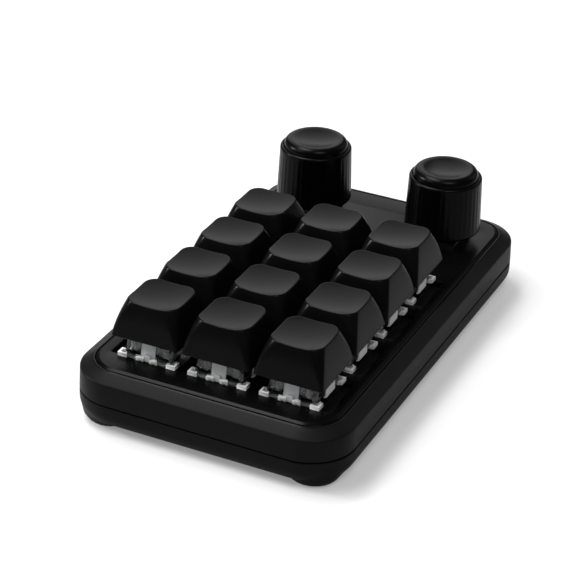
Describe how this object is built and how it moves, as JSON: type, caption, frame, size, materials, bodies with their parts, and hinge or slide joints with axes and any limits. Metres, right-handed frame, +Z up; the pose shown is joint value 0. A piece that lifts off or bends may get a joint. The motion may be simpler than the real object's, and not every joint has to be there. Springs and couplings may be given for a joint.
{
  "type": "macro keypad",
  "caption": "Small desk keypad: a grid of sprung keys with dished caps and fluted push-and-turn knobs behind them, in a two-part rounded case with a bevelled edge.",
  "frame": {"origin": "on the desk, under the middle of the case", "axes": "+X to the right of someone using it, +Y away from them towards the knobs, +Z up"},
  "size_m": [0.0724, 0.1264, 0.0367],
  "materials": {
    "case_plastic": "fine moulded texture, satin",
    "plate": "smooth satin",
    "keycap": "fine matt moulding",
    "knob": "satin, fluted",
    "switch_white": "moulded, slightly glossy",
    "switch_clear": "clear, smoky",
    "light_guide": "frosted",
    "stem": "smooth moulded",
    "spring_steel": "bright wire",
    "contact_metal": "bright stamped leaf",
    "board": "solder mask",
    "light": "clear lens",
    "chip": "moulded",
    "socket_steel": "bright rolled shell",
    "encoder_plastic": "moulded",
    "encoder_metal": "bright cast and turned",
    "shaft_metal": "turned",
    "foot_rubber": "matt",
    "screw_steel": "plated"
  },
  "bodies": {
    "case": {"lower_case": "case_plastic", "upper_case": "case_plastic", "top_plate": "plate", "rubber_feet": "foot_rubber", "case_screws": "screw_steel", "circuit_board": "board", "key_lights": "light", "controller_chip": "chip", "usb_socket": "socket_steel", "switch_bases": "switch_white", "switch_covers": "switch_clear", "light_guides": "light_guide", "switch_contacts": "contact_metal", "encoder_bases": "encoder_plastic", "encoder_frames": "encoder_metal", "spring_r1_c1": "spring_steel", "spring_r1_c2": "spring_steel", "spring_r1_c3": "spring_steel", "spring_r2_c1": "spring_steel", "spring_r2_c2": "spring_steel", "spring_r2_c3": "spring_steel", "spring_r3_c1": "spring_steel", "spring_r3_c2": "spring_steel", "spring_r3_c3": "spring_steel", "spring_r4_c1": "spring_steel", "spring_r4_c2": "spring_steel", "spring_r4_c3": "spring_steel"},
    "key_r1_c1": {"keycap_r1_c1": "keycap", "stem_r1_c1": "stem"},
    "key_r1_c2": {"keycap_r1_c2": "keycap", "stem_r1_c2": "stem"},
    "key_r1_c3": {"keycap_r1_c3": "keycap", "stem_r1_c3": "stem"},
    "key_r2_c1": {"keycap_r2_c1": "keycap", "stem_r2_c1": "stem"},
    "key_r2_c2": {"keycap_r2_c2": "keycap", "stem_r2_c2": "stem"},
    "key_r2_c3": {"keycap_r2_c3": "keycap", "stem_r2_c3": "stem"},
    "key_r3_c1": {"keycap_r3_c1": "keycap", "stem_r3_c1": "stem"},
    "key_r3_c2": {"keycap_r3_c2": "keycap", "stem_r3_c2": "stem"},
    "key_r3_c3": {"keycap_r3_c3": "keycap", "stem_r3_c3": "stem"},
    "key_r4_c1": {"keycap_r4_c1": "keycap", "stem_r4_c1": "stem"},
    "key_r4_c2": {"keycap_r4_c2": "keycap", "stem_r4_c2": "stem"},
    "key_r4_c3": {"keycap_r4_c3": "keycap", "stem_r4_c3": "stem"},
    "left_push": {"left_push_slider": "encoder_plastic"},
    "left_knob": {"left_knob": "knob", "left_encoder_shaft": "shaft_metal"},
    "right_push": {"right_push_slider": "encoder_plastic"},
    "right_knob": {"right_knob": "knob", "right_encoder_shaft": "shaft_metal"}
  },
  "joints": [
    {"name": "key_r1_c1_press", "type": "slide", "parent": "case", "child": "key_r1_c1", "axis": [0, 0, -1], "range_m": [0, 0.004], "stiffness_N_per_m": 75, "springref_m": -0.004, "deforming": ["spring_r1_c1"]},
    {"name": "key_r1_c2_press", "type": "slide", "parent": "case", "child": "key_r1_c2", "axis": [0, 0, -1], "range_m": [0, 0.004], "stiffness_N_per_m": 75, "springref_m": -0.004, "deforming": ["spring_r1_c2"]},
    {"name": "key_r1_c3_press", "type": "slide", "parent": "case", "child": "key_r1_c3", "axis": [0, 0, -1], "range_m": [0, 0.004], "stiffness_N_per_m": 75, "springref_m": -0.004, "deforming": ["spring_r1_c3"]},
    {"name": "key_r2_c1_press", "type": "slide", "parent": "case", "child": "key_r2_c1", "axis": [0, 0, -1], "range_m": [0, 0.004], "stiffness_N_per_m": 75, "springref_m": -0.004, "deforming": ["spring_r2_c1"]},
    {"name": "key_r2_c2_press", "type": "slide", "parent": "case", "child": "key_r2_c2", "axis": [0, 0, -1], "range_m": [0, 0.004], "stiffness_N_per_m": 75, "springref_m": -0.004, "deforming": ["spring_r2_c2"]},
    {"name": "key_r2_c3_press", "type": "slide", "parent": "case", "child": "key_r2_c3", "axis": [0, 0, -1], "range_m": [0, 0.004], "stiffness_N_per_m": 75, "springref_m": -0.004, "deforming": ["spring_r2_c3"]},
    {"name": "key_r3_c1_press", "type": "slide", "parent": "case", "child": "key_r3_c1", "axis": [0, 0, -1], "range_m": [0, 0.004], "stiffness_N_per_m": 75, "springref_m": -0.004, "deforming": ["spring_r3_c1"]},
    {"name": "key_r3_c2_press", "type": "slide", "parent": "case", "child": "key_r3_c2", "axis": [0, 0, -1], "range_m": [0, 0.004], "stiffness_N_per_m": 75, "springref_m": -0.004, "deforming": ["spring_r3_c2"]},
    {"name": "key_r3_c3_press", "type": "slide", "parent": "case", "child": "key_r3_c3", "axis": [0, 0, -1], "range_m": [0, 0.004], "stiffness_N_per_m": 75, "springref_m": -0.004, "deforming": ["spring_r3_c3"]},
    {"name": "key_r4_c1_press", "type": "slide", "parent": "case", "child": "key_r4_c1", "axis": [0, 0, -1], "range_m": [0, 0.004], "stiffness_N_per_m": 75, "springref_m": -0.004, "deforming": ["spring_r4_c1"]},
    {"name": "key_r4_c2_press", "type": "slide", "parent": "case", "child": "key_r4_c2", "axis": [0, 0, -1], "range_m": [0, 0.004], "stiffness_N_per_m": 75, "springref_m": -0.004, "deforming": ["spring_r4_c2"]},
    {"name": "key_r4_c3_press", "type": "slide", "parent": "case", "child": "key_r4_c3", "axis": [0, 0, -1], "range_m": [0, 0.004], "stiffness_N_per_m": 75, "springref_m": -0.004, "deforming": ["spring_r4_c3"]},
    {"name": "left_knob_push", "type": "slide", "parent": "case", "child": "left_push", "axis": [0, 0, -1], "range_m": [0, 0.0005], "stiffness_N_per_m": 3000, "springref_m": -0.0003},
    {"name": "left_knob_turn", "type": "hinge", "parent": "left_push", "child": "left_knob", "pos_m": [-0.01905, 0.04405, 0.016], "axis": [0, 0, 1], "continuous": true},
    {"name": "right_knob_push", "type": "slide", "parent": "case", "child": "right_push", "axis": [0, 0, -1], "range_m": [0, 0.0005], "stiffness_N_per_m": 3000, "springref_m": -0.0003},
    {"name": "right_knob_turn", "type": "hinge", "parent": "right_push", "child": "right_knob", "pos_m": [0.01905, 0.04405, 0.016], "axis": [0, 0, 1], "continuous": true}
  ]
}
